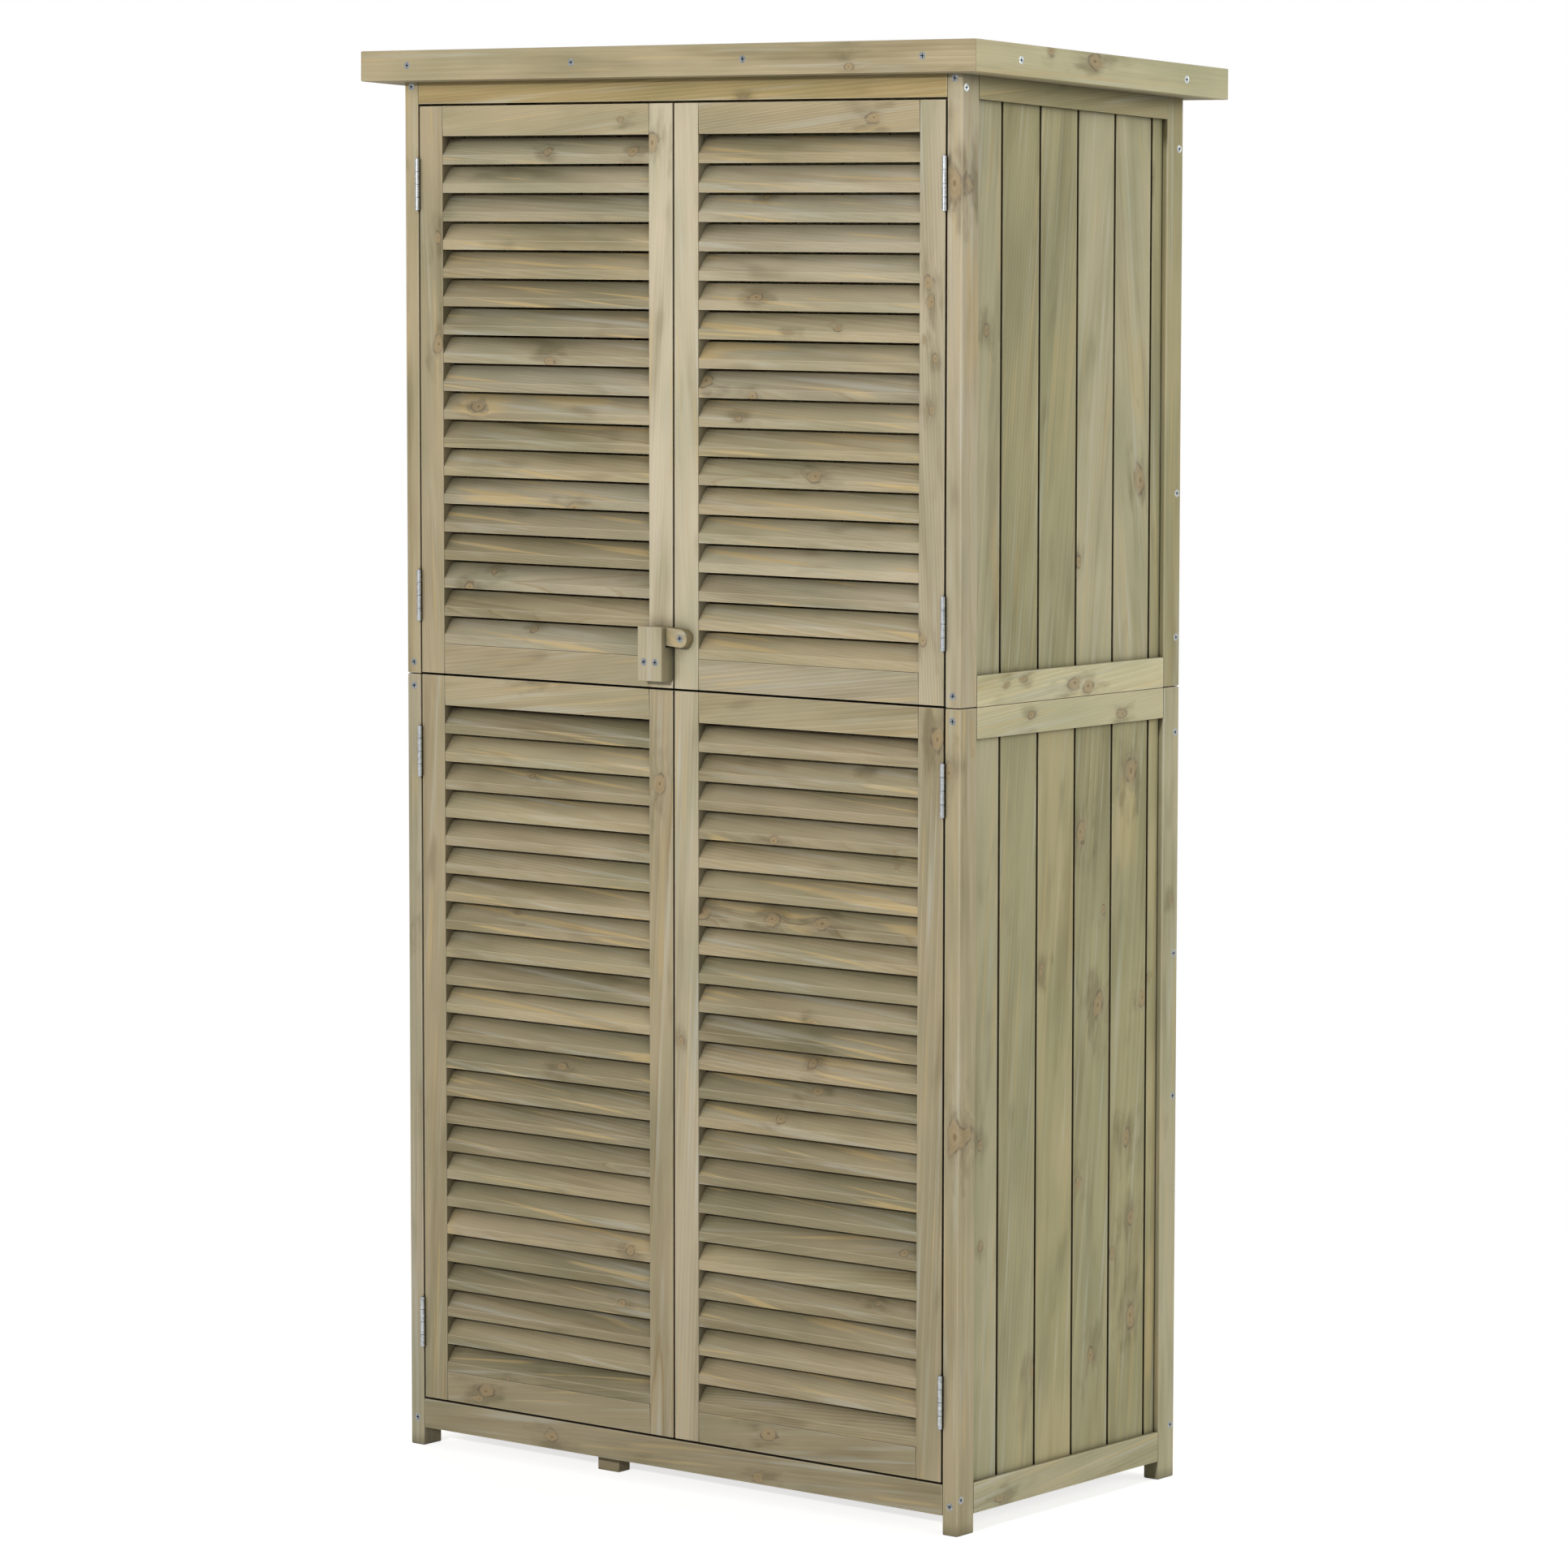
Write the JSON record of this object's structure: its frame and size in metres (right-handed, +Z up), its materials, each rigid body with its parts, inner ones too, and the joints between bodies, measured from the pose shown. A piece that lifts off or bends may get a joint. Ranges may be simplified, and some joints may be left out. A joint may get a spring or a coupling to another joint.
{
  "type": "garden shed",
  "caption": "Tall narrow garden storage shed of treated fir with louvred double doors above and below, boarded sides, shelves inside and a pent roof.",
  "frame": {"origin": "on the ground under the middle of the roof", "axes": "+Z up, the doors face -Y, +X to the right of someone who faces the doors"},
  "size_m": [0.87, 0.465, 1.6],
  "materials": {
    "treated_fir": "planed, pressure treated",
    "fir_boards": "tongued boards, pressure treated",
    "louvre_fir": "planed slats, pressure treated",
    "zinc_steel": "bright zinc plated",
    "roofing_felt": "mineral felt",
    "catch_plastic": "moulded"
  },
  "bodies": {
    "carcass": {"front_left_lower_post": "treated_fir", "front_left_upper_post": "treated_fir", "front_right_lower_post": "treated_fir", "front_right_upper_post": "treated_fir", "back_left_lower_post": "treated_fir", "back_left_upper_post": "treated_fir", "back_right_lower_post": "treated_fir", "back_right_upper_post": "treated_fir", "front_bottom_rail": "treated_fir", "front_top_rail": "treated_fir", "left_side_rails": "treated_fir", "right_side_rails": "treated_fir", "left_side_boards": "fir_boards", "right_side_boards": "fir_boards", "back_frame": "treated_fir", "back_boards": "fir_boards", "floor_frame": "treated_fir", "floor_boards": "treated_fir", "centre_foot": "treated_fir", "middle_shelf_frame": "treated_fir", "middle_shelf_boards": "treated_fir", "upper_shelf_ledgers": "treated_fir", "upper_shelf_boards": "treated_fir", "front_fascia": "treated_fir", "left_fascia": "treated_fir", "right_fascia": "treated_fir", "back_fascia": "treated_fir", "roof_battens": "treated_fir", "roof_boards": "treated_fir", "roof_felt": "roofing_felt", "magnetic_catches": "catch_plastic", "post_hinge_leaves": "zinc_steel", "hinge_pins": "zinc_steel", "frame_screws": "zinc_steel", "fascia_screws": "zinc_steel"},
    "upper_left_door": {"upper_left_door_stiles": "treated_fir", "upper_left_door_rails": "treated_fir", "upper_left_door_slats": "louvre_fir", "upper_left_door_hinge_leaves": "zinc_steel", "upper_left_door_strike_plate": "zinc_steel", "keeper_block": "treated_fir", "keeper_screws": "zinc_steel"},
    "upper_right_door": {"upper_right_door_stiles": "treated_fir", "upper_right_door_rails": "treated_fir", "upper_right_door_slats": "louvre_fir", "upper_right_door_hinge_leaves": "zinc_steel", "upper_right_door_strike_plate": "zinc_steel", "turn_button_screw": "zinc_steel"},
    "lower_left_door": {"lower_left_door_stiles": "treated_fir", "lower_left_door_rails": "treated_fir", "lower_left_door_slats": "louvre_fir", "lower_left_door_hinge_leaves": "zinc_steel", "lower_left_door_strike_plate": "zinc_steel"},
    "lower_right_door": {"lower_right_door_stiles": "treated_fir", "lower_right_door_rails": "treated_fir", "lower_right_door_slats": "louvre_fir", "lower_right_door_hinge_leaves": "zinc_steel", "lower_right_door_strike_plate": "zinc_steel"},
    "turn_button": {"turn_button": "treated_fir"}
  },
  "joints": [
    {"name": "upper_left_door_hinge", "type": "hinge", "parent": "carcass", "child": "upper_left_door", "pos_m": [-0.3739, -0.2055, 1.217], "axis": [0, 0, -1], "range_deg": [0, 180]},
    {"name": "upper_right_door_hinge", "type": "hinge", "parent": "carcass", "child": "upper_right_door", "pos_m": [0.3739, -0.2055, 1.217], "axis": [0, 0, 1], "range_deg": [0, 180]},
    {"name": "lower_left_door_hinge", "type": "hinge", "parent": "carcass", "child": "lower_left_door", "pos_m": [-0.3739, -0.2055, 0.476], "axis": [0, 0, -1], "range_deg": [0, 180]},
    {"name": "lower_right_door_hinge", "type": "hinge", "parent": "carcass", "child": "lower_right_door", "pos_m": [0.3739, -0.2055, 0.476], "axis": [0, 0, 1], "range_deg": [0, 180]},
    {"name": "turn_button_pivot", "type": "hinge", "parent": "upper_right_door", "child": "turn_button", "pos_m": [0.0181, -0.2085, 0.9527], "axis": [0, 1, 0], "range_deg": [-4, 86]}
  ]
}
